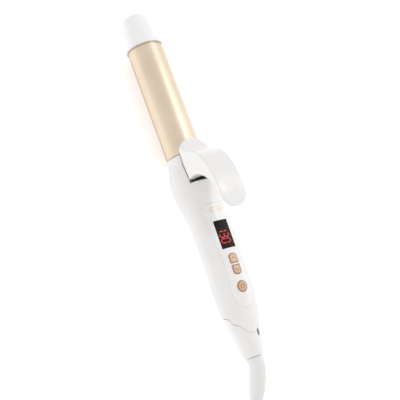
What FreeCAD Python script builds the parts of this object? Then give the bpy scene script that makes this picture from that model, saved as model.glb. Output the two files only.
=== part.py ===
import FreeCAD, Part
import math
import os

import Sketcher

from FreeCAD import Placement, Rotation, Vector

# A clip-type curling iron lying on its back.  +Y runs along the barrel towards the tip,
# +Z is the side with the thumb lever and the controls, X is across.  Millimetres.

os.makedirs("parts", exist_ok=True)
doc = FreeCAD.newDocument("curling_iron")
sheet = doc.addObject("Spreadsheet::Sheet", "Params")

DIMENSIONS = {
    # barrel and its two ends
    "axis_height": 19.0, "barrel_radius": 16.0, "barrel_wall": 1.0,
    "barrel_rear": 6.0, "barrel_front": 130.0,
    "ring_radius": 17.3, "ring_length": 3.0, "ring_bore": 9.0, "spigot_length": 8.0,
    "spigot_gap": 0.05, "cap_rear_radius": 15.5, "cap_front_radius": 12.2,
    "cap_front": 163.0, "cap_wall": 2.0, "cap_round": 6.0,
    # heater inside the barrel
    "shoe_radius": 14.9, "shoe_wall": 3.2, "shoe_rear": 20.0, "shoe_length": 100.0,
    "ptc_width": 16.0, "ptc_length": 88.0, "ptc_thick": 2.6, "pad_thick": 2.6,
    "web_thick": 2.4, "fuse_radius": 2.2, "fuse_length": 14.0, "bead_radius": 1.6,
    "holder_rear": 2.6, "holder_bore": 9.0, "holder_spigot": 9.0,
    # spring clip and its lever
    "clip_inner": 16.3, "clip_outer": 17.0, "clip_rear": 21.0, "clip_front": 127.5,
    "clip_half_angle": 94.0, "tab_rear": 8.0, "tab_half_angle": 38.0,
    "lever_half": 13.3, "lever_rest_half": 12.2, "lever_seat": 17.03,
    "tongue_side": 23.0, "lever_waist": -6.0, "rest_side": -35.0, "rest_round": 1.5,
    "ear_inner": 6.0, "ear_thick": 3.0, "ear_radius": 3.2,
    # hinge
    "pivot_along": -1.0, "pivot_rise": 10.0, "pin_radius": 1.5, "pin_half": 12.0,
    "pin_gap": 0.05, "bracket_half": 11.6, "bracket_side": 2.0, "bracket_floor": 4.0,
    "bracket_plate": 1.5, "bracket_top": 12.4, "bracket_rear": -6.0, "bracket_front": 2.2,
    "spring_radius": 2.5, "spring_wire": 0.45, "spring_pitch": 1.25, "spring_turns": 5.0,
    # handle shells
    "wall": 2.4, "panel_depth": 1.2, "bore_gap": 0.05, "bore_rear": 2.6,
    "split_height": 18.0, "split_gap": 0.25, "cavity_rear": -158.0, "neck_floor": 12.2,
    "neck_half": 13.7, "neck_rear": -7.8, "tail_hole": 5.1,
    "slot_along": -144.4, "slot_across": 5.4, "slot_radius": 6.0, "slot_offset": 4.5,
    "slot_depth": 0.0,
    # controls
    "window_half": 6.95, "window_front": -45.7, "window_rear": -70.9, "fit_gap": 0.12,
    "window_ledge": 0.8, "button_proud": 0.6, "button_gap": 0.25, "button_half": 3.85,
    "button_long": 8.2, "button_arch": 2.0, "up_along": -80.1, "down_along": -90.3,
    "power_along": -105.1, "power_radius": 4.7, "key_flange": 0.25, "key_floor": 11.6,
    "key_flange_thick": 1.2, "key_stem": 1.6, "key_stem_foot": 9.85,
    "power_floor": 9.9, "power_flange_thick": 0.9,
    # circuit board and what is on it
    "board_half": 11.0, "board_front": -40.0, "board_rear": -112.0, "board_floor": 5.4,
    "board_thick": 1.6, "module_half": 6.6, "module_inset": 1.0, "module_top": 13.4,
    "switch_half": 3.0, "switch_thick": 1.5, "switch_plunger": 1.2, "switch_rise": 0.7,
    # screws and posts
    "post_radius": 4.0, "screw_radius": 1.45, "screw_head": 2.9, "head_depth": 2.0,
    "bracket_head": 1.2, "front_screw": -28.0, "rear_screw": -119.0, "screw_reach": 9.0,
    "recess_radius": 3.2, "recess_deep": 4.2,
    # leads inside
    "wire_radius": 1.1, "clamp_along": -136.0, "clamp_half": 6.0, "clamp_width": 6.0,
    "clamp_low": -12.4, "clamp_top": -7.2,
    # cord, boot and plug
    "cord_radius": 2.5, "boot_root": 5.0, "boot_flange": 6.6,
    "coil_along": -260.0, "coil_across": 0.0, "coil_mean": 27.0, "coil_band": 16.0,
    "coil_high": 14.0, "coil_round": 4.0,
    "plug_wide": 24.0, "plug_high": 17.0, "plug_long": 32.0, "plug_round": 4.0,
    "plug_nose": 5.0, "blade_gap": 12.7, "blade_wide": 6.3, "blade_thick": 1.5,
    "blade_long": 17.0,
}

# Cross sections of the handle: along Y, rise of the centre over the barrel axis,
# half width and half height.  The half width is never the smaller of the two.
SECTIONS = [
    (20.2, 0.0, 17.6, 17.6), (10.0, 0.0, 18.9, 18.2), (-1.0, 0.0, 22.0, 18.9),
    (-12.0, 0.0, 22.3, 19.4), (-24.0, 0.3, 20.9, 18.7), (-36.0, 1.5, 19.6, 17.0),
    (-48.0, 2.2, 19.5, 15.9), (-59.0, 2.3, 19.5, 15.4), (-70.0, 2.0, 19.4, 15.3),
    (-81.0, 1.2, 18.8, 15.6), (-92.0, 0.4, 19.0, 15.8), (-103.0, -0.2, 19.5, 15.5),
    (-114.0, -1.0, 19.4, 14.6), (-125.0, -2.2, 17.8, 13.6), (-136.0, -3.9, 15.1, 12.6),
    (-148.0, -5.2, 12.2, 11.2), (-158.0, -5.6, 10.3, 10.0), (-163.0, -5.6, 9.2, 9.2),
]

for row, (alias, value) in enumerate(DIMENSIONS.items(), start=1):
    sheet.set(f"A{row}", alias)
    sheet.set(f"B{row}", repr(value))
    sheet.setAlias(f"B{row}", alias)
for number, section in enumerate(SECTIONS):
    for column, kind, value in zip("DEFG", ("along", "rise", "wide", "high"), section):
        sheet.set(f"{column}{number + 1}", repr(value))
        sheet.setAlias(f"{column}{number + 1}", f"{kind}_{number:02d}")
doc.recompute()


def size(alias):
    """The value of one cell of the sheet."""
    return float(sheet.get(alias))


AXIS = size("axis_height")
ALONG_BARREL = Rotation(Vector(1, 0, 0), -90)
ACROSS = Rotation(Vector(0, 1, 0), 90)
UPRIGHT_SECTION = Rotation(Vector(1, 0, 0), 90)
parts = {}


def bind(thing, **expressions):
    """Tie an object's properties to expressions over the sheet's cells."""
    for name, expression in expressions.items():
        thing.setExpression(name, expression)
    return thing


def cell(alias):
    return f"Params.{alias}"


def keep(node, thing):
    """Name a finished sub-part."""
    thing.Label = node
    parts[node] = thing
    return thing


def solid(kind, name, base=(0, 0, 0), turn=None, **expressions):
    """A Part primitive, sized from the sheet."""
    thing = doc.addObject(f"Part::{kind}", name)
    thing.Placement = Placement(Vector(*base), turn or Rotation())
    return bind(thing, **expressions)


def cut(name, base, tool):
    thing = doc.addObject("Part::Cut", name)
    thing.Base = base
    thing.Tool = tool
    return thing


def common(name, *shapes):
    thing = doc.addObject("Part::MultiCommon", name)
    thing.Shapes = list(shapes)
    return thing


def fuse(name, *shapes):
    thing = doc.addObject("Part::MultiFuse", name)
    thing.Shapes = list(shapes)
    return thing


def group(name, *shapes):
    thing = doc.addObject("Part::Compound", name)
    thing.Links = list(shapes)
    return thing


def shaped(name, shape, place=None):
    """A feature with a shape of its own, for forms that no primitive fits."""
    thing = doc.addObject("Part::Feature", name)
    thing.Shape = shape
    thing.Placement = place or shape.Placement
    return thing


def box(name, low, high):
    """A box between two corners."""
    low, high = Vector(*low), Vector(*high)
    thing = solid("Box", name, base=low)
    thing.Length, thing.Width, thing.Height = high - low
    return thing


def origin_plane(body, role):
    return next(item for item in body.Origin.OriginFeatures if item.Role == role)


def turned(node, corners):
    """A body of revolution about the barrel axis.  Each corner is (radius, along)."""
    body = doc.addObject("PartDesign::Body", node)
    sketch = body.newObject("Sketcher::SketchObject", f"{node}_profile")
    sketch.AttachmentSupport = (origin_plane(body, "XZ_Plane"), "")
    sketch.MapMode = "FlatFace"
    values = [[evaluate(text) for text in corner] for corner in corners]
    count = len(corners)
    for index in range(count):
        start, end = values[index], values[(index + 1) % count]
        sketch.addGeometry(Part.LineSegment(Vector(*start, 0), Vector(*end, 0)))
    for index in range(count):
        joined = (index + 1) % count
        sketch.addConstraint(Sketcher.Constraint("Coincident", index, 2, joined, 1))
    for index, (radius, along) in enumerate(corners):
        for kind, text, value in (("DistanceX", radius, values[index][0]),
                                  ("DistanceY", along, values[index][1])):
            if abs(value) < 1e-9:
                line = -2 if kind == "DistanceX" else -1
                sketch.addConstraint(Sketcher.Constraint("PointOnObject", index, 1, line))
                continue
            tie = sketch.addConstraint(Sketcher.Constraint(kind, -1, 1, index, 1, value))
            sketch.setExpression(f"Constraints[{tie}]", expand(text))
    spin = body.newObject("PartDesign::Revolution", f"{node}_turned")
    spin.Profile = sketch
    spin.ReferenceAxis = (sketch, ["V_Axis"])
    spin.Angle = 360
    body.Placement = Placement(Vector(0, 0, AXIS), ALONG_BARREL)
    body.setExpression(".Placement.Base.z", cell("axis_height"))
    return body


def expand(text):
    """Turn 'a - b' of aliases into a sheet expression."""
    words = []
    for word in text.split():
        words.append(cell(word) if word in DIMENSIONS else word)
    return " ".join(words)


def evaluate(text):
    """The value of a sum of aliases and numbers, read left to right."""
    total, sign = 0.0, 1.0
    for word in text.split():
        if word in "+-":
            sign = 1.0 if word == "+" else -1.0
        else:
            total += sign * (size(word) if word in DIMENSIONS else float(word))
    return total


def point(across, along, rise):
    """A point given by its rise over the barrel axis."""
    return Vector(across, along, AXIS + rise)

# ---------------------------------------------------------------- handle envelope

def envelope(name, inset):
    """The handle's outer form, taken in by an even amount."""
    rings = []
    for number, (along, rise, wide, high) in enumerate(SECTIONS):
        ring = doc.addObject("Part::Ellipse", f"{name}_ring_{number:02d}")
        ring.MajorRadius = wide + 1
        ring.MinorRadius = high - inset
        ring.Placement = Placement(point(0, along, rise), UPRIGHT_SECTION)
        bind(ring, MajorRadius=f"Params.wide_{number:02d} - {inset}",
             MinorRadius=f"Params.high_{number:02d} - {inset}")
        ring.setExpression(".Placement.Base.y", f"Params.along_{number:02d}")
        ring.setExpression(".Placement.Base.z", f"Params.axis_height + Params.rise_{number:02d}")
        rings.append(ring)
    loft = doc.addObject("Part::Loft", name)
    loft.Sections = rings
    loft.Solid = True
    return loft


outer = envelope("outer_form", 0.0)
under_panel = envelope("under_panel_form", size("panel_depth"))
cavity_form = envelope("cavity_form", size("wall"))
proud = envelope("proud_form", -size("button_proud"))

FAR = 60.0
cavity = common("cavity", cavity_form,
                box("cavity_span", (-FAR, size("cavity_rear"), -FAR),
                    (FAR, size("bore_rear"), 2 * FAR)))
bore = solid("Cylinder", "barrel_bore", (0, size("bore_rear"), AXIS), ALONG_BARREL,
             Radius="Params.barrel_radius + Params.bore_gap", Height=cell("shoe_length"))
rest_plane = box("under_floor", (-FAR, -200, -FAR), (FAR, FAR, 0))
hollow = fuse("hollow", cavity, bore)
neck_slot = box("neck_slot", (-size("neck_half"), size("neck_rear"), AXIS + size("neck_floor")),
                (size("neck_half"), FAR, 2 * FAR))

# The seam between the handle and its tail piece, seen from the side: (along, rise).
TAIL_SEAM = [(-152.0, 14.0), (-147.2, 8.6), (-144.1, 6.9), (-140.0, 6.2), (-136.6, 5.7),
             (-134.3, 4.6), (-132.8, 3.1), (-129.6, 2.5), (-127.1, 1.6), (-125.7, -1.0),
             (-125.2, -5.0), (-125.0, -11.0), (-124.8, -20.0)]
TAIL_GAP = Vector(0, -0.45, -0.3)


def seam_solid(shift, reach):
    """Everything on one side of the shifted seam."""
    line = [point(-FAR, *place) + shift for place in TAIL_SEAM]
    curve = Part.BSplineCurve()
    curve.interpolate(line)
    corners = [line[-1], Vector(-FAR, line[-1].y, -FAR), Vector(-FAR, reach, -FAR),
               Vector(-FAR, reach, 2 * FAR), Vector(-FAR, line[0].y, 2 * FAR), line[0]]
    straight = [Part.makeLine(a, b) for a, b in zip(corners, corners[1:])]
    wire = Part.Wire([curve.toShape(), *straight])
    return Part.Face(wire).extrude(Vector(2 * FAR, 0, 0))


def slot_solid():
    """The lens-shaped opening beside the seam, cut straight down."""
    radius, offset, along = size("slot_radius"), size("slot_offset"), size("slot_along")
    across, depth = size("slot_across"), size("slot_depth")
    lens = [Part.makeCylinder(radius, FAR, point(across + side * offset, along, depth))
            for side in (-1, 1)]
    return lens[0].common(lens[1])


handle_side = shaped("handle_side", seam_solid(Vector(), 40.0))
tail_side = shaped("tail_side", seam_solid(TAIL_GAP, -180.0))

# ---------------------------------------------------------------- control panel

# Right half of the shield outline: (across, along), from its front tip to its rear tip.
PANEL_HALF = [(14.9, -34.0), (12.2, -42.0), (10.9, -54.0), (10.6, -66.0), (9.6, -80.0),
              (9.3, -90.0), (10.6, -101.0), (11.0, -108.0), (8.9, -114.5)]
PANEL_FRONT = -29.6
PANEL_REAR = -123.0


def panel_solid(grow):
    """The shield outline as a tall prism, grown by a small gap."""
    right = [Vector(x + grow, y, 0) for x, y in PANEL_HALF]
    left = [Vector(-p.x, p.y, 0) for p in right]
    front = Vector(0, PANEL_FRONT + grow, 0)
    rear = Vector(0, PANEL_REAR - grow, 0)
    fan = Part.Arc(left[0], front, right[0]).toShape()
    side = Part.BSplineCurve()
    side.interpolate(right)
    other = Part.BSplineCurve()
    other.interpolate(left[::-1])
    foot = Part.Arc(right[-1], rear, left[-1]).toShape()
    wire = Part.Wire([fan, side.toShape(), foot, other.toShape()])
    tall = Part.Face(wire).extrude(Vector(0, 0, 2 * FAR))
    tall.translate(Vector(0, 0, AXIS))
    return tall


window_box = (size("window_half"), size("window_rear"), size("window_front"))


def window_solid(name, grow):
    half, rear, front = window_box
    return box(name, (-half - grow, rear - grow, AXIS), (half + grow, front + grow, 2 * FAR))


def key_outline(along, grow, arch_side):
    """A square key with one arched end."""
    half = size("button_half") + grow
    flat = along - arch_side * (size("button_long") / 2 + grow)
    shoulder = along + arch_side * (size("button_long") / 2 - size("button_arch") + grow)
    crown = along + arch_side * (size("button_long") / 2 + grow)
    corners = [Vector(-half, shoulder, 0), Vector(-half, flat, 0), Vector(half, flat, 0),
               Vector(half, shoulder, 0)]
    edges = [Part.makeLine(a, b) for a, b in zip(corners, corners[1:])]
    edges.append(Part.Arc(corners[3], Vector(0, crown, 0), corners[0]).toShape())
    return Part.Face(Part.Wire(edges))


def key_solid(along, grow, arch_side, low, high):
    face = key_outline(along, grow, arch_side)
    face.translate(Vector(0, 0, AXIS + low))
    return face.extrude(Vector(0, 0, high - low))


def disc(along, radius, low, high):
    return Part.makeCylinder(radius, high - low, point(0, along, low))


up_y, down_y, power_y = size("up_along"), size("down_along"), size("power_along")
gap = size("button_gap")
key_holes = group("key_holes",
                  shaped("up_hole", key_solid(up_y, gap, 1, 0, FAR)),
                  shaped("down_hole", key_solid(down_y, gap, -1, 0, FAR)),
                  shaped("power_hole", disc(power_y, size("power_radius") + gap, 0, FAR)))

panel_layer = cut("panel_layer", outer, under_panel)
panel_blank = common("panel_blank", panel_layer, shaped("panel_prism", panel_solid(0.0)))
panel_windowed = cut("panel_windowed", panel_blank, window_solid("panel_window_hole", 0.0))
keep("control_panel", cut("panel", panel_windowed, key_holes))
keep("display_window", common("window", panel_layer,
                              window_solid("window_prism", -size("fit_gap"))))

# ---------------------------------------------------------------- handle shells

shell = cut("shell_raw", outer, hollow)
shell_flat = cut("shell_flat", shell, rest_plane)
shell_neck = cut("shell_neck", shell_flat, neck_slot)
split = size("split_height")
half_gap = size("split_gap") / 2
upper_space = box("upper_space", (-FAR, -200, split + half_gap), (FAR, FAR, 2 * FAR))
lower_space = box("lower_space", (-FAR, -200, -FAR), (FAR, FAR, split - half_gap))


def post(name, along, low, high):
    return shaped(name, disc(along, size("post_radius"), low, high))


def drill(name, along, radius, low, high):
    return shaped(name, disc(along, radius, low, high))


screw_rows = (size("front_screw"), size("rear_screw"))
split_rise = split - AXIS
wall_middle = size("wall") / 2


def profile_at(along):
    """Rises of the handle's top and underside at a place along it."""
    for ahead, behind in zip(SECTIONS, SECTIONS[1:]):
        if behind[0] <= along <= ahead[0]:
            share = (ahead[0] - along) / (ahead[0] - behind[0])
            rise, high = [ahead[i] + share * (behind[i] - ahead[i]) for i in (1, 3)]
            return rise + high, rise - high
    raise ValueError(along)


def upper_post(number, along):
    top = profile_at(along)[0] - size("panel_depth") - 0.5
    return post(f"upper_post_{number}", along, split_rise + half_gap, top)


def lower_post(name, along, top):
    return post(name, along, profile_at(along)[1] + wall_middle, top)


upper_posts = [upper_post(n, along) for n, along in enumerate(screw_rows)]
lower_posts = [lower_post(f"lower_post_{n}", along, split_rise - half_gap)
               for n, along in enumerate(screw_rows)]
bracket_along = size("pivot_along") - 2.0
bracket_post = lower_post("bracket_post", bracket_along, size("bracket_floor"))

panel_pocket = common("panel_pocket", panel_layer, shaped("pocket_prism",
                                                          panel_solid(size("fit_gap"))))
front_raw = common("front_raw", shell_neck, upper_space, handle_side)
front_posts = fuse("front_posts", front_raw, *upper_posts)
front_pocket = cut("front_pocket", front_posts, panel_pocket)
front_window = cut("front_window", front_pocket,
                   window_solid("ledge_hole", -size("window_ledge")))
front_keys = cut("front_keys", front_window, key_holes)
front_holes = group("front_holes", *[drill(f"front_drill_{n}", along, size("screw_radius"), -20,
                                           size("screw_reach"))
                                     for n, along in enumerate(screw_rows)])
keep("front_housing", cut("front", front_keys, front_holes))

rear_raw = common("rear_raw", shell_neck, lower_space, handle_side)
rear_posts = fuse("rear_posts", rear_raw, *lower_posts, bracket_post)
rear_flat = cut("rear_flat", rear_posts, rest_plane)


recess_tops = [profile_at(along)[1] + size("recess_deep") for along in screw_rows]
rear_holes = group(
    "rear_holes",
    *[drill(f"rear_drill_{n}", along, size("screw_radius"), top, 20)
      for n, (along, top) in enumerate(zip(screw_rows, recess_tops))],
    *[drill(f"rear_recess_{n}", along, size("recess_radius"), -40, top)
      for n, (along, top) in enumerate(zip(screw_rows, recess_tops))],
    drill("bracket_drill", bracket_along, size("screw_radius"),
          size("bracket_floor") - 9, size("bracket_floor")))
keep("rear_housing", cut("rear", rear_flat, rear_holes))

tail_raw = common("tail_raw", shell_flat, tail_side)
tail_bore = shaped("tail_bore", Part.makeCylinder(size("tail_hole"), 30,
                                                  point(0, -140, SECTIONS[-1][1]),
                                                  Vector(0, -1, 0)))
tail_slot = shaped("tail_slot", slot_solid())
keep("tail_cover", cut("tail", tail_raw, group("tail_holes", tail_bore, tail_slot)))

# ---------------------------------------------------------------- barrel group

keep("barrel_tube", turned("barrel", [
    ("barrel_radius - barrel_wall", "barrel_rear"), ("barrel_radius", "barrel_rear"),
    ("barrel_radius", "barrel_front"), ("barrel_radius - barrel_wall", "barrel_front")]))
keep("tip_ring", turned("ring", [
    ("ring_bore", "barrel_front - spigot_length"),
    ("barrel_radius - barrel_wall - spigot_gap", "barrel_front - spigot_length"),
    ("barrel_radius - barrel_wall - spigot_gap", "barrel_front"),
    ("ring_radius", "barrel_front"), ("ring_radius", "barrel_front + ring_length"),
    ("ring_bore", "barrel_front + ring_length")]))
tip_body = turned("tip", [
    ("cap_rear_radius - cap_wall", "barrel_front + ring_length"),
    ("cap_rear_radius", "barrel_front + ring_length"),
    ("cap_front_radius", "cap_front"), ("0", "cap_front"),
    ("0", "cap_front - cap_wall"),
    ("cap_front_radius - cap_wall - cap_wall", "cap_front - cap_wall")])
doc.recompute()
turned_feature = tip_body.Tip
rim = [f"Edge{n}" for n, edge in enumerate(turned_feature.Shape.Edges, start=1)
       if edge.Curve.TypeId == "Part::GeomCircle"
       and abs(edge.Curve.Radius - size("cap_front_radius")) < 1e-3]
rounded = tip_body.newObject("PartDesign::Fillet", "tip_rounding")
rounded.Base = (turned_feature, rim)
rounded.setExpression("Radius", cell("cap_round"))
keep("tip_cap", tip_body)
keep("barrel_holder", turned("holder", [
    ("holder_bore", "holder_rear"), ("barrel_radius", "holder_rear"),
    ("barrel_radius", "barrel_rear"),
    ("barrel_radius - barrel_wall - spigot_gap", "barrel_rear"),
    ("barrel_radius - barrel_wall - spigot_gap", "barrel_rear + holder_spigot"),
    ("holder_bore", "barrel_rear + holder_spigot")]))


def heater_shoe(node, side):
    """Half-round aluminium shoe with a flat pad against the heating plate."""
    start = (0, size("shoe_rear"), AXIS)
    skin = solid("Cylinder", f"{node}_skin", start, ALONG_BARREL,
                 Radius=cell("shoe_radius"), Height=cell("shoe_length"))
    inside = solid("Cylinder", f"{node}_inside", start, ALONG_BARREL,
                   Radius="Params.shoe_radius - Params.shoe_wall", Height=cell("shoe_length"))
    tube = cut(f"{node}_tube", skin, inside)
    face = size("ptc_thick") / 2
    low, high = sorted((side * face, side * size("shoe_radius")))
    half = box(f"{node}_half", (-FAR, 0, AXIS + low), (FAR, 200, AXIS + high))
    back, front = size("shoe_rear"), size("shoe_rear") + size("shoe_length")
    reach = size("shoe_radius") - size("shoe_wall") / 2
    low, high = sorted((side * face, side * (face + size("pad_thick"))))
    pad = box(f"{node}_pad", (-reach, back, AXIS + low), (reach, front, AXIS + high))
    low, high = sorted((side * face, side * reach))
    web_half = size("web_thick") / 2
    web = box(f"{node}_web", (-web_half, back, AXIS + low), (web_half, front, AXIS + high))
    arch = common(f"{node}_arch", tube, half)
    return keep(node, fuse(f"{node}_whole", arch, pad, web))


heater_shoe("heater_shoe_upper", 1)
heater_shoe("heater_shoe_lower", -1)
plate_back = size("shoe_rear") + (size("shoe_length") - size("ptc_length")) / 2
keep("ptc_heater", box("ptc", (-size("ptc_width") / 2, plate_back, AXIS - size("ptc_thick") / 2),
                       (size("ptc_width") / 2, plate_back + size("ptc_length"),
                        AXIS + size("ptc_thick") / 2)))
keep("temperature_sensor", solid("Cylinder", "sensor", (5.5, 66, AXIS + 5.5), ALONG_BARREL,
                                 Radius=cell("bead_radius"), Height="4"))
keep("thermal_fuse", solid("Cylinder", "fuse", (-5.5, 40, AXIS - 6.2), ALONG_BARREL,
                           Radius=cell("fuse_radius"), Height=cell("fuse_length")))

# ---------------------------------------------------------------- hinge

pivot = (size("pivot_along"), size("pivot_rise"))
keep("hinge_pin", solid("Cylinder", "pin", (-size("pin_half"), pivot[0], AXIS + pivot[1]), ACROSS,
                        Radius=cell("pin_radius"), Height="2 * Params.pin_half"))
bracket_low = AXIS + size("bracket_floor")
bracket_base = box("bracket_base", (-size("bracket_half"), size("bracket_rear"), bracket_low),
                   (size("bracket_half"), size("bracket_front"),
                    bracket_low + size("bracket_plate")))
bracket_sides = []
for side in (-1, 1):
    low, high = sorted((side * size("bracket_half"),
                        side * (size("bracket_half") - size("bracket_side"))))
    bracket_sides.append(box(f"bracket_side_{side + 1}", (low, size("bracket_rear"), bracket_low),
                             (high, size("bracket_front"), AXIS + size("bracket_top"))))
bracket_blank = fuse("bracket_blank", bracket_base, *bracket_sides)
bracket_holes = group(
    "bracket_holes",
    solid("Cylinder", "bracket_bore", (-FAR, pivot[0], AXIS + pivot[1]), ACROSS,
          Radius=cell("pin_radius"), Height="120"),
    drill("bracket_screw_hole", bracket_along, size("screw_radius"), 0, 8))
keep("hinge_bracket", cut("bracket", bracket_blank, bracket_holes))


def screw(name, along, seat, length, head_depth, way):
    """A pan-head screw through a seat; way is 1 when it points up and -1 when down."""
    head_low, head_high = sorted((seat, seat - way * head_depth))
    shank_low, shank_high = sorted((seat, seat + way * length))
    head = disc(along, size("screw_head"), head_low, head_high)
    shank = disc(along, size("screw_radius"), shank_low, shank_high)
    return shaped(name, head.fuse(shank).removeSplitter())


housing_screws = [screw(f"screw_{n}", along, top, size("screw_reach") - top,
                        size("head_depth"), 1)
                  for n, (along, top) in enumerate(zip(screw_rows, recess_tops))]
keep("housing_screws", group("screws", *housing_screws))
keep("bracket_screw", screw("fixing", bracket_along, size("bracket_floor")
                            + size("bracket_plate"), 9.0, size("bracket_head"), -1))

# ---------------------------------------------------------------- clip and lever


def clip_sector(inner, outside, half_angle, rear, front):
    """A strip of tube wall about the barrel axis, centred on its top."""
    def on_circle(radius, angle):
        return Vector(radius * math.sin(angle), 0, AXIS + radius * math.cos(angle))
    edge = math.radians(half_angle)
    over = Part.Arc(*[on_circle(outside, turn * edge) for turn in (-1, 0, 1)]).toShape()
    under = Part.Arc(*[on_circle(inner, turn * edge) for turn in (1, 0, -1)]).toShape()
    right = Part.makeLine(on_circle(outside, edge), on_circle(inner, edge))
    left = Part.makeLine(on_circle(inner, -edge), on_circle(outside, -edge))
    strip = Part.Face(Part.Wire([over, right, under, left])).extrude(Vector(0, front - rear, 0))
    strip.translate(Vector(0, rear, 0))
    return strip


wide = clip_sector(size("clip_inner"), size("clip_outer"), size("clip_half_angle"),
                   size("clip_rear"), size("clip_front"))
tab = clip_sector(size("clip_inner"), size("clip_outer"), size("tab_half_angle"),
                  size("tab_rear"), size("clip_rear") + 1)
keep("clip_plate", shaped("clip", wide.fuse(tab).removeSplitter()))

# Side view of the lever, (along, rise): over the top from the tongue to the thumb rest,
# then back along the underside of the hook.
LEVER_TOP = [(32.0, 19.0), (26.0, 19.6), (21.3, 21.6), (17.2, 26.5), (14.2, 33.0),
             (10.4, 38.6), (5.2, 42.8), (-2.0, 46.4), (-10.0, 49.2), (-18.0, 50.9),
             (-27.0, 51.6), (-36.0, 51.3), (-43.5, 50.0)]
LEVER_UNDER = [(-43.5, 47.0), (-36.0, 47.9), (-28.0, 47.2), (-20.5, 44.5), (-13.8, 40.2),
               (-8.6, 34.6), (-5.2, 28.0), (-4.0, 21.5), (-5.0, 14.6)]
LEVER_NOSE = (32.0, 14.6)


def lever_side():
    """The lever's side profile as a solid as wide as the lever."""
    half = size("lever_half")
    top = Part.BSplineCurve()
    top.interpolate([point(-half, *p) for p in LEVER_TOP])
    under = Part.BSplineCurve()
    under.interpolate([point(-half, *p) for p in LEVER_UNDER])
    tail_start, tail_end = point(-half, *LEVER_TOP[-1]), point(-half, *LEVER_UNDER[0])
    tail_mid = point(-half, LEVER_TOP[-1][0] - size("rest_round"),
                     (LEVER_TOP[-1][1] + LEVER_UNDER[0][1]) / 2)
    nose = point(-half, *LEVER_NOSE)
    wire = Part.Wire([top.toShape(), Part.Arc(tail_start, tail_mid, tail_end).toShape(),
                      under.toShape(), Part.makeLine(point(-half, *LEVER_UNDER[-1]), nose),
                      Part.makeLine(nose, point(-half, *LEVER_TOP[0]))])
    return Part.Face(wire).extrude(Vector(2 * half, 0, 0))


def lever_plan():
    """The lever's outline from above: an arched tongue and a round rear end."""
    half, rest = size("lever_half"), size("lever_rest_half")
    tongue_tip, rear_tip = LEVER_TOP[0][0], LEVER_TOP[-1][0] - size("rest_round")
    corners = [Vector(half, size("tongue_side"), 0), Vector(half, size("lever_waist"), 0),
               Vector(rest, size("rest_side"), 0)]
    mirror = [Vector(-p.x, p.y, 0) for p in corners]
    edges = [Part.makeLine(corners[0], corners[1]), Part.makeLine(corners[1], corners[2]),
             Part.Arc(corners[2], Vector(0, rear_tip, 0), mirror[2]).toShape(),
             Part.makeLine(mirror[2], mirror[1]), Part.makeLine(mirror[1], mirror[0]),
             Part.Arc(mirror[0], Vector(0, tongue_tip, 0), corners[0]).toShape()]
    return Part.Face(Part.Wire(edges)).extrude(Vector(0, 0, 3 * FAR))


def lever_shape():
    blank = lever_side().common(lever_plan())
    seat = Part.makeCylinder(size("lever_seat"), 2 * FAR, point(0, -FAR / 2, 0), Vector(0, 1, 0))
    blank = blank.cut(seat)
    first = size("ear_inner")
    for side in (-1, 1):
        low = min(side * first, side * (first + size("ear_thick")))
        ear = Part.makeCylinder(size("ear_radius"), size("ear_thick"), point(low, *pivot),
                                Vector(1, 0, 0))
        web = Part.makeBox(size("ear_thick"), 2 * size("ear_radius"), 12.0,
                           point(low, pivot[0] - size("ear_radius"), pivot[1]))
        blank = blank.fuse(ear.fuse(web))
    hole = Part.makeCylinder(size("pin_radius") + size("pin_gap"), 2 * FAR,
                             point(-FAR, *pivot), Vector(1, 0, 0))
    return blank.cut(hole).removeSplitter()


keep("lever", shaped("thumb_lever", lever_shape()))


def spring_shape():
    """A torsion spring wound round the hinge pin."""
    pitch, turns, radius = size("spring_pitch"), size("spring_turns"), size("spring_radius")
    helix = Part.makeHelix(pitch, pitch * turns, radius)
    circle = Part.Wire(Part.makeCircle(size("spring_wire"), Vector(radius, 0, 0), Vector(0, 1, 0)))
    coil = Part.Wire(helix).makePipeShell([circle], True, True)
    coil.Placement = Placement(point(-pitch * turns / 2, *pivot), ACROSS)
    return coil


keep("clip_spring", shaped("spring", spring_shape()))

# ---------------------------------------------------------------- electronics

board_low = AXIS + size("board_floor")
board_high = board_low + size("board_thick")
keep("circuit_board", box("board", (-size("board_half"), size("board_rear"), board_low),
                          (size("board_half"), size("board_front"), board_high)))
half, rear, front = window_box
inset = size("module_inset")
keep("display_module", box("module", (-size("module_half"), rear + inset, board_high),
                           (size("module_half"), front - inset, AXIS + size("module_top"))))


def tact_switch(name, along):
    side = size("switch_half")
    base = Part.makeBox(2 * side, 2 * side, size("switch_thick"),
                        Vector(-side, along - side, board_high))
    plunger = Part.makeCylinder(size("switch_plunger"), size("switch_rise"),
                                Vector(0, along, board_high + size("switch_thick")))
    return shaped(name, base.fuse(plunger).removeSplitter())


keep("tact_switches", group("switches", tact_switch("up_switch", up_y),
                            tact_switch("down_switch", down_y),
                            tact_switch("power_switch", power_y)))


def key(node, along, arch_side):
    """A key cap with a retaining flange and a short stem."""
    low = size("key_floor")
    flange_top = low + size("key_flange_thick")
    cap = shaped(f"{node}_column", key_solid(along, 0.0, arch_side, flange_top, FAR))
    crown = common(f"{node}_crown", cap, proud)
    flange = shaped(f"{node}_flange",
                    key_solid(along, size("button_gap") + size("key_flange"), arch_side, low,
                              flange_top))
    stem = shaped(f"{node}_stem", disc(along, size("key_stem"), size("key_stem_foot"), low))
    return keep(node, fuse(f"{node}_whole", crown, flange, stem))


key("up_button", up_y, 1)
key("down_button", down_y, -1)
power_low = size("power_floor")
power_flange_top = power_low + size("power_flange_thick")
power_cap = common("power_crown", proud,
                   shaped("power_column", disc(power_y, size("power_radius"), power_flange_top,
                                               FAR)))
power_flange = shaped("power_flange", disc(power_y, size("power_radius") + gap
                                           + size("key_flange"), power_low, power_flange_top))
keep("power_button", fuse("power_whole", power_cap, power_flange))

# ---------------------------------------------------------------- leads and cord


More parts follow.
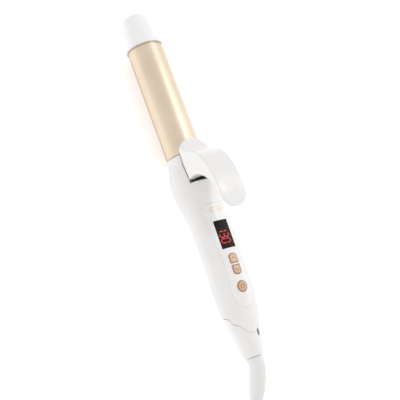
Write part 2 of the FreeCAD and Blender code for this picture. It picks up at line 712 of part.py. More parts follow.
def bend_radii(points):
    """The arc radius at each inner point: 0.45 of the shorter run over tan(half turn)."""
    radii = []
    for before, here, after in zip(points, points[1:], points[2:]):
        run_in, run_out = here - before, after - here
        turn = run_in.getAngle(run_out)
        radii.append(0.45 * min(run_in.Length, run_out.Length) / math.tan(turn / 2))
    return radii


def rounded_path(points):
    """Straight runs joined by tangent arcs."""
    edges = []
    here = points[0]
    for index, radius in enumerate(bend_radii(points), start=1):
        corner = points[index]
        back = (points[index - 1] - corner).normalize()
        on = (points[index + 1] - corner).normalize()
        half_turn = (math.pi - back.getAngle(on)) / 2
        trim = radius * math.tan(half_turn)
        start, end = corner + back * trim, corner + on * trim
        inward = (back + on).normalize()
        middle = corner + inward * (radius / math.cos(half_turn) - radius)
        edges.append(Part.LineSegment(here, start).toShape())
        edges.append(Part.Arc(start, middle, end).toShape())
        here = end
    edges.append(Part.LineSegment(here, points[-1]).toShape())
    return Part.Wire(edges)


def tube_along(points, radius):
    """A round solid along a rounded path."""
    path = rounded_path(points)
    face = Part.Wire(Part.makeCircle(radius, points[0], points[1] - points[0]))
    tube = path.makePipeShell([face], True, False)
    expected = math.pi * radius ** 2 * path.Length
    if abs(tube.Volume - expected) > 0.01 * expected:
        raise RuntimeError(f"tube volume {tube.Volume:.1f}, expected {expected:.1f}")
    return tube, path.Length


def lead_pair(node, route):
    """Two insulated wires side by side; the route is given for the right-hand one."""
    wires = []
    for number, side in enumerate((-1, 1)):
        points = [point(side * across, along, rise) for across, along, rise in route]
        wires.append(shaped(f"{node}_{number}", tube_along(points, size("wire_radius"))[0]))
    return keep(node, group(f"{node}_pair", *wires))


lead_pair("heater_leads", [(7.5, -42.0, 3.6), (7.4, -28.0, 3.0), (7.0, -12.0, 1.6),
                           (6.4, 4.0, 0.2), (6.0, 18.5, -0.1)])
lead_pair("supply_leads", [(3.4, -151.0, -5.6), (3.3, -143.0, -4.8), (5.0, -131.0, -1.0),
                           (6.4, -119.0, 2.4), (6.8, -110.0, 3.9)])
clamp_half = size("clamp_half")
keep("cord_clamp", box("clamp", (-clamp_half, size("clamp_along"), AXIS + size("clamp_low")),
                       (clamp_half, size("clamp_along") + size("clamp_width"),
                        AXIS + size("clamp_top"))))

# Middle line of the bent boot with its radius at each station: across, along, height, radius.
BOOT = [(0.0, -163.3, 13.4, 7.3), (0.0, -170.0, 12.9, 7.3), (-1.8, -178.0, 11.5, 7.3),
        (-4.4, -186.0, 9.4, 7.2), (-7.2, -194.0, 7.2, 6.2), (-9.4, -202.5, 5.2, 4.6),
        (-10.2, -210.0, 4.0, 3.3)]


def boot_shape():
    """The strain relief: a root held in the tail, and a bent tapering sleeve."""
    middles = [Vector(*station[:3]) for station in BOOT]
    rings = []
    for index, middle in enumerate(middles):
        before, after = middles[max(index - 1, 0)], middles[min(index + 1, len(middles) - 1)]
        heading = after - before
        if index == 0:
            heading = Vector(0, -1, 0)
        rings.append(Part.Wire(Part.makeCircle(BOOT[index][3], middle, heading)))
    sleeve = Part.makeLoft(rings, True, False)
    start = middles[0]
    root = Part.makeCylinder(size("boot_root"), 9.0, start, Vector(0, 1, 0))
    flange = Part.makeCylinder(size("boot_flange"), 3.0, start + Vector(0, 5.6, 0),
                               Vector(0, 1, 0))
    return sleeve.fuse(root).fuse(flange).removeSplitter()


keep("strain_relief", shaped("boot", boot_shape()))

cord_low = size("cord_radius") + 0.1
CORD_LEAD = [Vector(-10.2, -210.0, 4.0), Vector(-11.2, -217.5, 3.0),
             Vector(-14.8, -227.0, cord_low), Vector(-20.4, -237.0, cord_low),
             Vector(-26.6, -247.0, cord_low), Vector(-30.6, -256.0, cord_low),
             Vector(-32.2, -265.0, cord_low)]
lead_tube, lead_length = tube_along(CORD_LEAD, size("cord_radius"))
keep("cord_lead", shaped("lead", lead_tube))


def coil_shape():
    """The outer form of the wound cord: a ring of rounded section lying flat."""
    inner = size("coil_mean") - size("coil_band") / 2
    corner = size("coil_round")
    ring = Part.makeCylinder(inner + size("coil_band"), size("coil_high"))
    ring = ring.cut(Part.makeCylinder(inner, size("coil_high")))
    rims = [edge for edge in ring.Edges if edge.Curve.TypeId == "Part::GeomCircle"]
    return ring.makeFillet(corner, rims)


coil_place = Placement(Vector(size("coil_across"), size("coil_along"), 0), Rotation())
keep("cord_coil", shaped("coil", coil_shape(), coil_place))

# The far end of the cord lies on the coil for half a turn and enters the plug, which
# rests on the coil too.
PLUG_PLACE = Vector(-23.2, -262.0, size("coil_high") + size("plug_high") / 2)
CORD_END = [Vector(23.6, -266.2, 13.0), Vector(24.8, -254.7, 14.8), Vector(20.4, -243.9, 16.6),
            Vector(11.5, -236.4, 17.8), Vector(0.2, -234.0, 19.0), Vector(-11.0, -237.2, 20.3),
            Vector(-19.4, -245.3, 21.6), Vector(-23.0, -256.0, 22.5)]
end_tube, end_length = tube_along(CORD_END, size("cord_radius"))
keep("cord_end", shaped("end", end_tube))
plug_block = solid("Box", "plug_block",
                   PLUG_PLACE + Vector(-size("plug_wide") / 2, -size("plug_long"),
                                       -size("plug_high") / 2),
                   Length=cell("plug_wide"), Width=cell("plug_long"), Height=cell("plug_high"))
doc.recompute()
plug_rounded = doc.addObject("Part::Fillet", "plug_rounded")
plug_rounded.Base = plug_block
plug_rounded.Edges = [(number + 1, size("plug_round"), size("plug_round"))
                      for number in range(len(plug_block.Shape.Edges))]
plug_neck = solid("Cone", "plug_neck", PLUG_PLACE + Vector(0, -1.0, 0), ALONG_BARREL,
                  Radius1="Params.plug_nose + 1.5", Radius2="Params.plug_nose - 1.2",
                  Height="6.0")
plug_whole = fuse("plug_whole", plug_rounded, plug_neck)
keep("plug_body", plug_whole)
blades = []
for side in (-1, 1):
    blade = solid("Box", f"blade_{side + 1}",
                  PLUG_PLACE + Vector(side * size("blade_gap") / 2 - size("blade_thick") / 2,
                                      -size("plug_long") - size("blade_long"),
                                      -size("blade_wide") / 2),
                  Length=cell("blade_thick"), Width=cell("blade_long"),
                  Height=cell("blade_wide"))
    blades.append(blade)
keep("plug_blades", group("blades", *blades))

doc.recompute()
for thing in doc.Objects:
    bad = [state for state in thing.State if state in ("Invalid", "Error")]
    if bad:
        raise RuntimeError(f"{thing.Label}: {bad}")
for node, thing in parts.items():
    shape = thing.Shape
    if shape.isNull() or not shape.isValid():
        raise RuntimeError(f"{node} has no valid shape")
    print(f"{node:22s} solids {len(shape.Solids)} volume {shape.Volume:10.1f}")
    shape.exportStep(f"parts/{node}.step")
for name, route in (("lead", CORD_LEAD), ("end", CORD_END)):
    print(f"cord {name} arc radii", [round(radius, 1) for radius in bend_radii(route)])
print("cord lengths", round(lead_length, 1), round(end_length, 1))
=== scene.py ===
import math

import bmesh
import bpy
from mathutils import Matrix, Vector
from mathutils.bvhtree import BVHTree


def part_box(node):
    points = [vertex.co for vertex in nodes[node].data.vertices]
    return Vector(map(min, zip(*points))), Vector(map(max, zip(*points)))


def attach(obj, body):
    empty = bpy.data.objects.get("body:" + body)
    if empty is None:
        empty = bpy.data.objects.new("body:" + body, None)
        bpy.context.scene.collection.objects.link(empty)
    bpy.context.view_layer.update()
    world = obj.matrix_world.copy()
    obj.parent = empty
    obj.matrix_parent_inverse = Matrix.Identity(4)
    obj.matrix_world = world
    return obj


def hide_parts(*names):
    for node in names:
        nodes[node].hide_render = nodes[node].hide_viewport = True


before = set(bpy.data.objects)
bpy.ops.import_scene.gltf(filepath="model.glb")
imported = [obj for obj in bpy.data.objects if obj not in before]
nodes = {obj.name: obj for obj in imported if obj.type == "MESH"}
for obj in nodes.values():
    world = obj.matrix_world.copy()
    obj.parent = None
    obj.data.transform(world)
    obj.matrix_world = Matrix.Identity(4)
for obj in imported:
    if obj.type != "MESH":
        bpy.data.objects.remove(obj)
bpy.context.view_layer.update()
MM = 0.001

barrel_low, barrel_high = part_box("barrel_tube")
AXIS_Z = (barrel_low[2] + barrel_high[2]) / 2


def new_object(name, data):
    """An object in the scene that shows a mesh or curve, or holds a camera or light."""
    made = bpy.data.objects.new(name, data)
    bpy.context.collection.objects.link(made)
    return made


# ------------------------------------------------------------------ camera


def place_camera():
    """The iron runs from lower right to upper left, its key side turned to the right."""
    roll, tip_away, slant = math.radians(34.0), math.radians(12.5), math.radians(20.3)
    distance, target = 0.746, Vector((0.0, -0.0201, AXIS_Z))
    toward = Vector((-math.sin(roll) * math.cos(tip_away), -math.sin(tip_away),
                     math.cos(roll) * math.cos(tip_away)))
    level = Vector((math.cos(roll), 0.0, math.sin(roll)))
    rise = toward.cross(level)
    right = level * math.cos(slant) - rise * math.sin(slant)
    up = toward.cross(right)
    data = bpy.data.cameras.new("camera")
    data.lens = 76.5
    data.sensor_width = 36.0
    data.clip_start, data.clip_end = 0.01, 20.0
    camera = new_object("camera", data)
    matrix = camera.matrix_world.copy()
    for row in range(3):
        matrix[row][0], matrix[row][1], matrix[row][2] = right[row], up[row], toward[row]
        matrix[row][3] = (target + toward * distance)[row]
    camera.matrix_world = matrix
    bpy.context.scene.camera = camera


place_camera()

# ------------------------------------------------------------------ materials


def new_material(name):
    """A material with its node tree and its shader."""
    material = bpy.data.materials.new(name)
    material.use_nodes = True
    tree = material.node_tree
    shader = tree.nodes["Principled BSDF"]
    return material, tree, shader


def add(tree, kind, **values):
    """A node with some of its inputs or settings filled in."""
    node = tree.nodes.new(kind)
    for key, value in values.items():
        if key in node.inputs:
            node.inputs[key].default_value = value
        else:
            setattr(node, key, value)
    return node


def mapped(tree, scale=(1, 1, 1)):
    """Coordinates fixed to the object, in metres, stretched by a scale."""
    place = add(tree, "ShaderNodeTexCoord")
    mapping = add(tree, "ShaderNodeMapping")
    mapping.inputs["Scale"].default_value = scale
    tree.links.new(place.outputs["Object"], mapping.inputs["Vector"])
    return mapping.outputs["Vector"]


def noise(tree, coords, scale, detail=3.0, roughness=0.5):
    """A factor that drifts smoothly about 0.5."""
    node = add(tree, "ShaderNodeTexNoise", Scale=scale, Detail=detail, Roughness=roughness)
    tree.links.new(coords, node.inputs["Vector"])
    return node.outputs["Fac"]


def ramp(tree, factor, low, high, low_at=0.35, high_at=0.65):
    """A colour that follows a factor from one shade to another."""
    node = tree.nodes.new("ShaderNodeValToRGB")
    node.color_ramp.elements[0].position = low_at
    node.color_ramp.elements[1].position = high_at
    node.color_ramp.elements[0].color = (*low, 1)
    node.color_ramp.elements[1].color = (*high, 1)
    tree.links.new(factor, node.inputs["Fac"])
    return node.outputs["Color"]


def vary(tree, factor, low, high):
    """A number that follows a factor between two limits."""
    node = add(tree, "ShaderNodeMapRange")
    node.inputs["To Min"].default_value = low
    node.inputs["To Max"].default_value = high
    tree.links.new(factor, node.inputs["Value"])
    return node.outputs["Result"]


def average(tree, first, second):
    """Half of one factor plus half of another."""
    part = add(tree, "ShaderNodeMath", operation="MULTIPLY")
    part.inputs[1].default_value = 0.5
    tree.links.new(second, part.inputs[0])
    total = add(tree, "ShaderNodeMath", operation="MULTIPLY_ADD")
    total.inputs[1].default_value = 0.5
    tree.links.new(first, total.inputs[0])
    tree.links.new(part.outputs[0], total.inputs[2])
    return total.outputs[0]


def bump(tree, shader, height, strength, distance):
    """Small relief that follows a factor."""
    node = add(tree, "ShaderNodeBump", Strength=strength, Distance=distance)
    tree.links.new(height, node.inputs["Height"])
    tree.links.new(node.outputs["Normal"], shader.inputs["Normal"])


def moulded(name, light, dark, rough=(0.3, 0.42), grain=2600.0, depth=0.00002, coat=0.0):
    """Plastic or another even surface: small shifts of shade, a fine grain, uneven gloss."""
    material, tree, shader = new_material(name)
    coords = mapped(tree)
    cloud = noise(tree, coords, 24.0)
    tree.links.new(ramp(tree, cloud, dark, light), shader.inputs["Base Color"])
    tree.links.new(vary(tree, noise(tree, coords, 90.0), *rough), shader.inputs["Roughness"])
    bump(tree, shader, noise(tree, coords, grain, 2.0), 0.25, depth)
    if coat:
        shader.inputs["Coat Weight"].default_value = coat
        shader.inputs["Coat Roughness"].default_value = 0.12
    return material


def satin_metal(name, light, dark, brushed=(40, 1200, 40), rough=(0.28, 0.36), metallic=0.9):
    """Metal with fine lines, round the barrel unless brushed says else, and shifts of tone."""
    material, tree, shader = new_material(name)
    lines = noise(tree, mapped(tree, brushed), 1.0, 4.0, 0.6)
    cloud = noise(tree, mapped(tree), 30.0)
    tone = average(tree, lines, cloud)
    tree.links.new(ramp(tree, tone, dark, light), shader.inputs["Base Color"])
    tree.links.new(vary(tree, lines, *rough), shader.inputs["Roughness"])
    shader.inputs["Metallic"].default_value = metallic
    bump(tree, shader, lines, 0.2, 0.00001)
    return material


def glossy_window(name):
    """Tinted window with very faint wipe marks."""
    material, tree, shader = new_material(name)
    coords = mapped(tree)
    tree.links.new(ramp(tree, noise(tree, coords, 60.0), (0.004, 0.004, 0.004),
                        (0.012, 0.011, 0.010)), shader.inputs["Base Color"])
    shader.inputs["Specular IOR Level"].default_value = 0.2
    tree.links.new(vary(tree, noise(tree, coords, 250.0), 0.08, 0.2), shader.inputs["Roughness"])
    return material


def lit_digit(name):
    """Red segments of the display, a little uneven in brightness."""
    material, tree, shader = new_material(name)
    glow = ramp(tree, noise(tree, mapped(tree), 900.0), (0.55, 0.01, 0.02), (0.75, 0.02, 0.04))
    tree.links.new(glow, shader.inputs["Base Color"])
    tree.links.new(glow, shader.inputs["Emission Color"])
    shader.inputs["Emission Strength"].default_value = 0.7
    shader.inputs["Roughness"].default_value = 0.4
    return material


white = moulded("white_satin", (0.86, 0.85, 0.838), (0.83, 0.82, 0.808), coat=0.25)
cool_tip = moulded("white_cool_tip", (0.90, 0.90, 0.895), (0.87, 0.87, 0.86), rough=(0.4, 0.52))
inlay = moulded("white_inlay", (0.88, 0.87, 0.85), (0.85, 0.84, 0.82), rough=(0.2, 0.28),
                depth=0.00001, coat=0.4)
soft_white = moulded("soft_white", (0.83, 0.815, 0.795), (0.79, 0.78, 0.76), rough=(0.5, 0.62),
                     grain=1800.0, depth=0.00004)
cord_sheath = moulded("cord_sheath", (0.82, 0.815, 0.795), (0.78, 0.77, 0.75),
                      rough=(0.45, 0.6), grain=1500.0, depth=0.00004)
gold = satin_metal("gold_satin", (0.64, 0.52, 0.40), (0.59, 0.47, 0.36), rough=(0.4, 0.46),
                   metallic=0.8)
gold_clip = satin_metal("gold_clip_satin", (0.81, 0.69, 0.54), (0.76, 0.63, 0.48),
                        rough=(0.4, 0.46), metallic=0.8)
rose = satin_metal("rose_gold", (0.70, 0.46, 0.31), (0.63, 0.41, 0.27), brushed=(300, 300, 300),
                   rough=(0.3, 0.42), metallic=0.4)
rose_dark = satin_metal("rose_gold_mark", (0.34, 0.18, 0.10), (0.28, 0.14, 0.07),
                        brushed=(300, 300, 300), metallic=0.2)
ornament_gold = satin_metal("ornament_gold", (0.80, 0.64, 0.42), (0.70, 0.54, 0.34),
                            brushed=(500, 500, 500), metallic=0.3)
steel = satin_metal("plain_steel", (0.55, 0.55, 0.56), (0.45, 0.45, 0.46),
                    brushed=(200, 200, 200), metallic=1.0)
aluminium = satin_metal("raw_aluminium", (0.75, 0.76, 0.77), (0.65, 0.66, 0.67), metallic=1.0)
window = glossy_window("display_tint")
digit = lit_digit("display_red")
board = moulded("board_mask", (0.02, 0.16, 0.06), (0.015, 0.12, 0.05), grain=900.0)
black = moulded("module_black", (0.02, 0.02, 0.02), (0.012, 0.012, 0.012))
ceramic = moulded("ceramic", (0.74, 0.70, 0.62), (0.66, 0.62, 0.55), rough=(0.55, 0.7))

NODE_MATERIALS = {
    white: ("front_housing", "rear_housing", "tail_cover", "lever", "cord_clamp"),
    cool_tip: ("tip_cap", "tip_ring"), inlay: ("control_panel",),
    gold: ("barrel_tube",), gold_clip: ("clip_plate",),
    rose: ("up_button", "down_button", "power_button"), window: ("display_window",),
    black: ("display_module",), board: ("circuit_board",),
    steel: ("tact_switches", "hinge_pin", "hinge_bracket", "housing_screws", "bracket_screw",
            "clip_spring", "thermal_fuse", "plug_blades"),
    aluminium: ("heater_shoe_upper", "heater_shoe_lower"),
    ceramic: ("barrel_holder", "ptc_heater", "temperature_sensor"),
    soft_white: ("strain_relief", "plug_body"),
    cord_sheath: ("heater_leads", "supply_leads"),
}
for material, node_names in NODE_MATERIALS.items():
    for node_name in node_names:
        nodes[node_name].data.materials.clear()
        nodes[node_name].data.materials.append(material)

# ------------------------------------------------------------------ cord

# The uncoiled ends follow the CAD model's cord_lead and cord_end, in mm. The coil's turns take the
# place of cord_lead's last two points and of cord_end's first one.
CORD_LOW = 2.6
LEAD = [(-10.2, -210.0, 4.0), (-11.2, -217.5, 3.0), (-14.8, -227.0, CORD_LOW),
        (-20.4, -237.0, CORD_LOW), (-26.6, -247.0, CORD_LOW)]
END = [(24.8, -254.7, 14.8), (20.4, -243.9, 16.6), (11.5, -236.4, 17.8), (0.2, -234.0, 19.0),
       (-11.0, -237.2, 20.3), (-19.4, -245.3, 21.6), (-23.0, -256.0, 22.5)]
CORD_WIDTH = 0.005


def coil_points():
    """Three layers of turns: inwards along the floor, outwards over them, and inwards again."""
    centre_y, outer, inner = -260.0, 32.5, 21.5
    layer_high, per_turn = 4.4, 14
    stages = [(2.5, outer, inner), (0.75, inner, inner), (2.5, inner, outer),
              (0.75, outer, outer), (3.0, outer, inner)]
    start_angle, height, turned = math.pi + math.radians(-10), CORD_LOW, 0.0
    points = []
    for turns, first, last in stages:
        climb = layer_high if first == last else 0.0
        steps = round(turns * per_turn)
        for step in range(steps):
            share = step / steps
            radius = first + (last - first) * share
            angle = start_angle + 2 * math.pi * (turned + turns * share)
            points.append((radius * math.cos(angle), centre_y + radius * math.sin(angle),
                           height + climb * share))
        turned += turns
        height += climb
    return points


def make_cord():
    """One continuous length from the strain relief through the coil to the plug."""
    curve = bpy.data.curves.new("mains_cord", "CURVE")
    curve.dimensions = "3D"
    spline = curve.splines.new("NURBS")
    route = [*LEAD, *coil_points(), *END]
    spline.points.add(len(route) - 1)
    for point, place in zip(spline.points, route):
        point.co = (*(value * MM for value in place), 1.0)
    spline.order_u = 3
    spline.use_endpoint_u = True
    spline.resolution_u = 8
    curve.bevel_depth = CORD_WIDTH / 2
    curve.bevel_resolution = 5
    cord = new_object("mains_cord", curve)
    curve.materials.append(cord_sheath)
    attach(cord, "handle")
    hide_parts("cord_lead", "cord_coil", "cord_end")


make_cord()

# ------------------------------------------------------------------ lines on the surfaces

RAY_START = 0.2     # above everything, in metres
DOWN = Vector((0, 0, -1))


def surface_tree(name):
    """The surface of a CAD node at rest, for laying lines on."""
    piece = nodes[name]
    points = [piece.matrix_world @ vertex.co for vertex in piece.data.vertices]
    return BVHTree.FromPolygons(points, [face.vertices for face in piece.data.polygons])


def place_piece(name, mesh, material, body):
    """A piece of one material that moves with a body."""
    piece = new_object(name, mesh)
    mesh.materials.clear()
    mesh.materials.append(material)
    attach(piece, body)
    return piece


def ribbon(shape, tree, path, half, raised, sunk, closed=False):
    """A flat line along a path of (across, along) points in mm, lying on a surface."""
    count = len(path)
    rows = []
    for index, (x, y) in enumerate(path):
        before = path[(index - 1) % count] if closed or index else path[0]
        after = path[(index + 1) % count] if closed or index < count - 1 else path[-1]
        way = Vector((after[0] - before[0], after[1] - before[1], 0)).normalized()
        side = Vector((-way.y, way.x, 0)) * half
        row = []
        for sign, lift in ((-1, -sunk), (-1, raised), (1, raised), (1, -sunk)):
            spot = (Vector((x, y, 0)) + side * sign) * MM
            hit = tree.ray_cast(Vector((spot.x, spot.y, RAY_START)), DOWN)[0]
            row.append(shape.verts.new((spot.x, spot.y, hit.z + lift * MM)))
        rows.append(row)
    pairs = list(zip(rows, rows[1:]))
    if closed:
        pairs.append((rows[-1], rows[0]))
    else:
        shape.faces.new(rows[0])
        shape.faces.new(rows[-1][::-1])
    for first, second in pairs:
        for corner in range(4):
            other = (corner + 1) % 4
            shape.faces.new((first[corner], second[corner], second[other], first[other]))


def lines_piece(name, tree, strokes, material, body, half=0.2, raised=0.04,
                sunk=0.1, closed=False):
    """One piece made of ribbons, one for each stroke."""
    shape = bmesh.new()
    for path in strokes:
        ribbon(shape, tree, path, half, raised, sunk, closed)
    bmesh.ops.recalc_face_normals(shape, faces=shape.faces)
    mesh = bpy.data.meshes.new(name)
    shape.to_mesh(mesh)
    shape.free()
    return place_piece(name, mesh, material, body)


def straight(start, end, steps=6):
    """Points along a straight line, close enough to follow the surface."""
    return [(start[0] + (end[0] - start[0]) * n / steps, start[1] + (end[1] - start[1]) * n / steps)
            for n in range(steps + 1)]


def arc(centre, radius, first, last, steps=24):
    """Points along an arc, its angles in degrees."""
    angles = [math.radians(first + (last - first) * n / steps) for n in range(steps + 1)]
    return [(centre[0] + radius * math.cos(a), centre[1] + radius * math.sin(a)) for a in angles]


def mm_box(name):
    """A node's low x, low y, high x and high y, in mm."""
    low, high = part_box(name)
    return low[0] / MM, low[1] / MM, high[0] / MM, high[1] / MM


# ------------------------------------------------------------------ display and ornament, in mm

# Seven-segment digits, read from the tip toward the cord with their tops toward +X.
DISPLAY_NUMBER = "130"
SEGMENTS = {"1": "bc", "3": "abcdg", "0": "abcdef"}
DIGIT_FOOT, DIGIT_TOP = -5.0, 3.4
DIGIT_START, DIGIT_PITCH = -52.2, 5.1
DIGIT_WIDE, DIGIT_GAP = 3.6, 0.45


def digit_strokes():
    middle = (DIGIT_FOOT + DIGIT_TOP) / 2
    strokes = []
    for place, figure in enumerate(DISPLAY_NUMBER):
        near = DIGIT_START - place * DIGIT_PITCH
        far = near - DIGIT_WIDE
        near_in, far_in = near - DIGIT_GAP, far + DIGIT_GAP
        ends = {"a": ((DIGIT_TOP, near_in), (DIGIT_TOP, far_in)),
                "b": ((DIGIT_TOP - DIGIT_GAP, far), (middle + DIGIT_GAP, far)),
                "c": ((middle - DIGIT_GAP, far), (DIGIT_FOOT + DIGIT_GAP, far)),
                "d": ((DIGIT_FOOT, near_in), (DIGIT_FOOT, far_in)),
                "e": ((DIGIT_FOOT + DIGIT_GAP, near), (middle - DIGIT_GAP, near)),
                "f": ((middle + DIGIT_GAP, near), (DIGIT_TOP - DIGIT_GAP, near)),
                "g": ((middle, near_in), (middle, far_in))}
        strokes.extend(straight(*ends[segment]) for segment in SEGMENTS[figure])
    return strokes


WAVE_MIDDLE, WAVE_APART = -35.3, 1.35
WAVE_SLOPE, WAVE_HEIGHT, WAVE_RATE = 0.055, 0.75, 1.3
WAVE_LEFT, WAVE_RIGHT, WAVE_STEP = -6.6, 7.6, 0.2


def wave(offset):
    """One of the two wavy lines across the inlay, each a little nearer the tip on its right."""
    steps = round((WAVE_RIGHT - WAVE_LEFT) / WAVE_STEP)
    across = [WAVE_LEFT + WAVE_STEP * n for n in range(steps + 1)]
    return [(x, WAVE_MIDDLE + offset + WAVE_SLOPE * x + WAVE_HEIGHT * math.sin(WAVE_RATE * x))
            for x in across]


lines_piece("display_digits", surface_tree("display_window"), digit_strokes(), digit, "handle",
            half=0.36, raised=0.03)
lines_piece("panel_ornament", surface_tree("control_panel"), [wave(-WAVE_APART), wave(WAVE_APART)],
            ornament_gold, "handle", half=0.3)

# ------------------------------------------------------------------ keys' marks and rims, in mm

KEY_INSET = 0.88    # a key's hidden flange, half the width of its rim, and a little more
KEY_ARCH = 1.8      # how far a square key's curved end rises
CHEVRON_TIP, CHEVRON_FOOT, CHEVRON_HALF = 1.3, 0.9, 2.0
POWER_RING, POWER_OPENING = 1.8, (125, 415)
POWER_STROKE = (0.5, 2.4)


def key_rim(name, arch_side):
    """A path just inside a key's edge: three straight sides and an arch."""
    low_x, low_y, high_x, high_y = mm_box(name)
    low_x, low_y = low_x + KEY_INSET, low_y + KEY_INSET
    high_x, high_y = high_x - KEY_INSET, high_y - KEY_INSET
    if arch_side > 0:
        flat, shoulder, crown = low_y, high_y - KEY_ARCH, high_y
    else:
        flat, shoulder, crown = high_y, low_y + KEY_ARCH, low_y
    half = (high_x - low_x) / 2
    radius = (half ** 2 + KEY_ARCH ** 2) / (2 * KEY_ARCH)
    centre = (0.0, crown - arch_side * radius)
    sweep = math.degrees(math.asin(half / radius))
    top = arc(centre, radius, arch_side * (90 - sweep), arch_side * (90 + sweep), 14)
    return [*straight((low_x, flat), (high_x, flat), 8)[:-1],
            *straight((high_x, flat), (high_x, shoulder), 6)[:-1], *top[:-1],
            *straight((low_x, shoulder), (low_x, flat), 6)[:-1]]


def mark_square_key(name, body, arch_side):
    """A chevron and a rim; arch_side is 1 toward the tip and -1 toward the cord."""
    tree = surface_tree(name)
    _, low_y, _, high_y = mm_box(name)
    middle = (low_y + high_y) / 2
    tip, foot = middle + arch_side * CHEVRON_TIP, middle - arch_side * CHEVRON_FOOT
    chevron = [straight((0.0, tip), (side * CHEVRON_HALF, foot)) for side in (-1, 1)]
    lines_piece(f"{name}_mark", tree, chevron, rose_dark, body, half=0.26)
    lines_piece(f"{name}_rim", tree, [key_rim(name, arch_side)], rose_dark, body,
                half=0.3, closed=True)


def mark_power_key(name, body):
    """An open ring with a stroke through its opening, and a round rim."""
    tree = surface_tree(name)
    low_x, low_y, high_x, high_y = mm_box(name)
    middle = (low_y + high_y) / 2
    centre, radius = (0.0, middle), (high_x - low_x) / 2
    start, end = POWER_STROKE
    sign = [arc(centre, POWER_RING, *POWER_OPENING),
            straight((0.0, middle + start), (0.0, middle + end))]
    lines_piece(f"{name}_mark", tree, sign, rose_dark, body, half=0.28)
    lines_piece(f"{name}_rim", tree, [arc(centre, radius - KEY_INSET, 0, 345, 23)], rose_dark,
                body, half=0.28, closed=True)


mark_square_key("up_button", "up_key", 1)
mark_square_key("down_button", "down_key", -1)
mark_power_key("power_button", "power_key")

# ------------------------------------------------------------------ lever

# In metres, with the smoothing's number of passes.
LEVER_VOXEL, LEVER_PASSES = 0.0005, 14
SOFT_RISE, SOFT_RISE_FADE = 0.0158, 0.003       # above the barrel's axis
SOFT_ALONG, SOFT_ALONG_FADE = 0.010, 0.004      # toward the tip
RIB_RADIUS, RIB_SUNK, RIB_END_DROP = 0.0006, 0.00035, 0.0003

# In mm along the handle and across it, with the number of ribs and of steps to each side.
RIB_COUNT, RIB_FIRST, RIB_PITCH = 6, -24.0, 2.3
RIB_STEPS, RIB_STEP = 14, 0.5


def settle(piece):
    """Turn a piece's modifiers into its mesh."""
    graph = bpy.context.evaluated_depsgraph_get()
    mesh = bpy.data.meshes.new_from_object(piece.evaluated_get(graph))
    piece.modifiers.clear()
    piece.data = mesh


def rounded_mesh(name, voxel, passes, softness):
    """The CAD piece's form, its edges rounded over where softness (0 to 1) allows."""
    source = nodes[name]
    piece = new_object("rounding", source.data.copy())
    piece.matrix_world = source.matrix_world
    remesh = piece.modifiers.new("even", "REMESH")
    remesh.mode = "VOXEL"
    remesh.voxel_size = voxel
    remesh.use_smooth_shade = True
    settle(piece)
    group = piece.vertex_groups.new(name="soft")
    for vertex in piece.data.vertices:
        group.add([vertex.index], softness(piece.matrix_world @ vertex.co), "REPLACE")
    soften = piece.modifiers.new("soften", "SMOOTH")
    soften.factor = 0.5
    soften.iterations = passes
    soften.vertex_group = "soft"
    settle(piece)
    mesh = piece.data
    mesh.transform(piece.matrix_world)
    bpy.data.objects.remove(piece)
    return mesh


def lever_softness(place):
    """Full on the tongue and the hook, none where the lever's sides drop into the neck."""
    over_neck = (place.z - AXIS_Z - SOFT_RISE) / SOFT_RISE_FADE
    along_tongue = (place.y - SOFT_ALONG) / SOFT_ALONG_FADE
    return min(1.0, max(0.0, over_neck, along_tongue))


def bar(shape, places, radius, sides=8):
    """A round bar along some places, with closed ends."""
    rings = []
    for place in places:
        rings.append([shape.verts.new((place.x, place.y + radius * math.cos(turn),
                                       place.z + radius * math.sin(turn)))
                      for turn in (2 * math.pi * n / sides for n in range(sides))])
    for first, second in zip(rings, rings[1:]):
        for n in range(sides):
            other = (n + 1) % sides
            shape.faces.new((first[n], first[other], second[other], second[n]))
    shape.faces.new(rings[0])
    shape.faces.new(rings[-1][::-1])


def rib_places(tree, y):
    """Places for one rib across the thumb rest, sunk a little deeper toward both ends."""
    places = []
    for step in range(-RIB_STEPS, RIB_STEPS + 1):
        x = step * RIB_STEP * MM
        hit = tree.ray_cast(Vector((x, y, RAY_START)), DOWN)[0]
        drop = RIB_END_DROP * (abs(step) / RIB_STEPS) ** 6
        places.append(Vector((x, y, hit.z - RIB_SUNK - drop)))
    return places


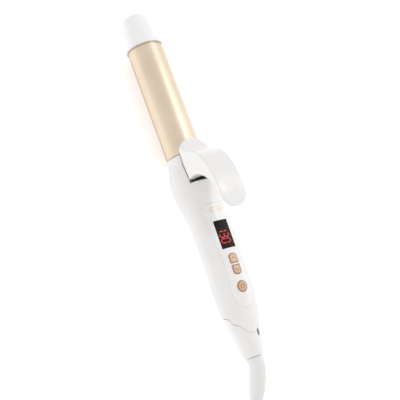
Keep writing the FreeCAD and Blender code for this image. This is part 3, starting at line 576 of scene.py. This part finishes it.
def make_lever():
    """The thumb lever with rounded edges and cross ribs on its thumb rest."""
    mesh = rounded_mesh("lever", LEVER_VOXEL, LEVER_PASSES, lever_softness)
    tree = BVHTree.FromPolygons([vertex.co for vertex in mesh.vertices],
                                [face.vertices for face in mesh.polygons])
    shape = bmesh.new()
    shape.from_mesh(mesh)
    for number in range(RIB_COUNT):
        bar(shape, rib_places(tree, (RIB_FIRST - RIB_PITCH * number) * MM), RIB_RADIUS)
    bmesh.ops.recalc_face_normals(shape, faces=shape.faces)
    shape.to_mesh(mesh)
    shape.free()
    mesh.polygons.foreach_set("use_smooth", [True] * len(mesh.polygons))
    lever = place_piece("thumb_lever", mesh, white, "clip")
    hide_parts("lever")


make_lever()

# ------------------------------------------------------------------ floor and light


def make_floor():
    """A wide pale floor that glows a little, so that it shows as white."""
    mesh = bpy.data.meshes.new("floor")
    shape = bmesh.new()
    bmesh.ops.create_grid(shape, x_segments=8, y_segments=8, size=3.0)
    shape.to_mesh(mesh)
    shape.free()
    floor = new_object("floor", mesh)
    material, tree, shader = new_material("floor_pale")
    tree.links.new(ramp(tree, noise(tree, mapped(tree), 3.0), (0.93, 0.93, 0.93),
                        (0.95, 0.95, 0.95)), shader.inputs["Base Color"])
    shader.inputs["Roughness"].default_value = 0.9
    shader.inputs["Emission Color"].default_value = (1, 1, 1, 1)
    shader.inputs["Emission Strength"].default_value = 0.4
    mesh.materials.append(material)


def area_light(name, place, size, power, target=(0.0, 0.0, 0.02)):
    """A round soft light aimed at the iron."""
    data = bpy.data.lights.new(name, "AREA")
    data.shape = "DISK"
    data.size = size
    data.energy = power
    light = new_object(name, data)
    light.location = place
    aim = Vector(target) - Vector(place)
    light.rotation_mode = "QUATERNION"
    light.rotation_quaternion = aim.to_track_quat("-Z", "Y")


def light_world(strength):
    """Even white light from all round."""
    world = bpy.data.worlds.new("studio")
    world.use_nodes = True
    background = world.node_tree.nodes["Background"]
    background.inputs["Color"].default_value = (1, 1, 1, 1)
    background.inputs["Strength"].default_value = strength
    bpy.context.scene.world = world


make_floor()
area_light("key", (0.55, 0.3, 1.08), 0.3, 2.4)
area_light("side", (1.2, 0.0, 0.7), 1.2, 2.4)
area_light("left", (-1.3, -0.3, 0.7), 1.2, 0.9)
light_world(0.8)
bpy.context.scene.view_settings.view_transform = "Standard"
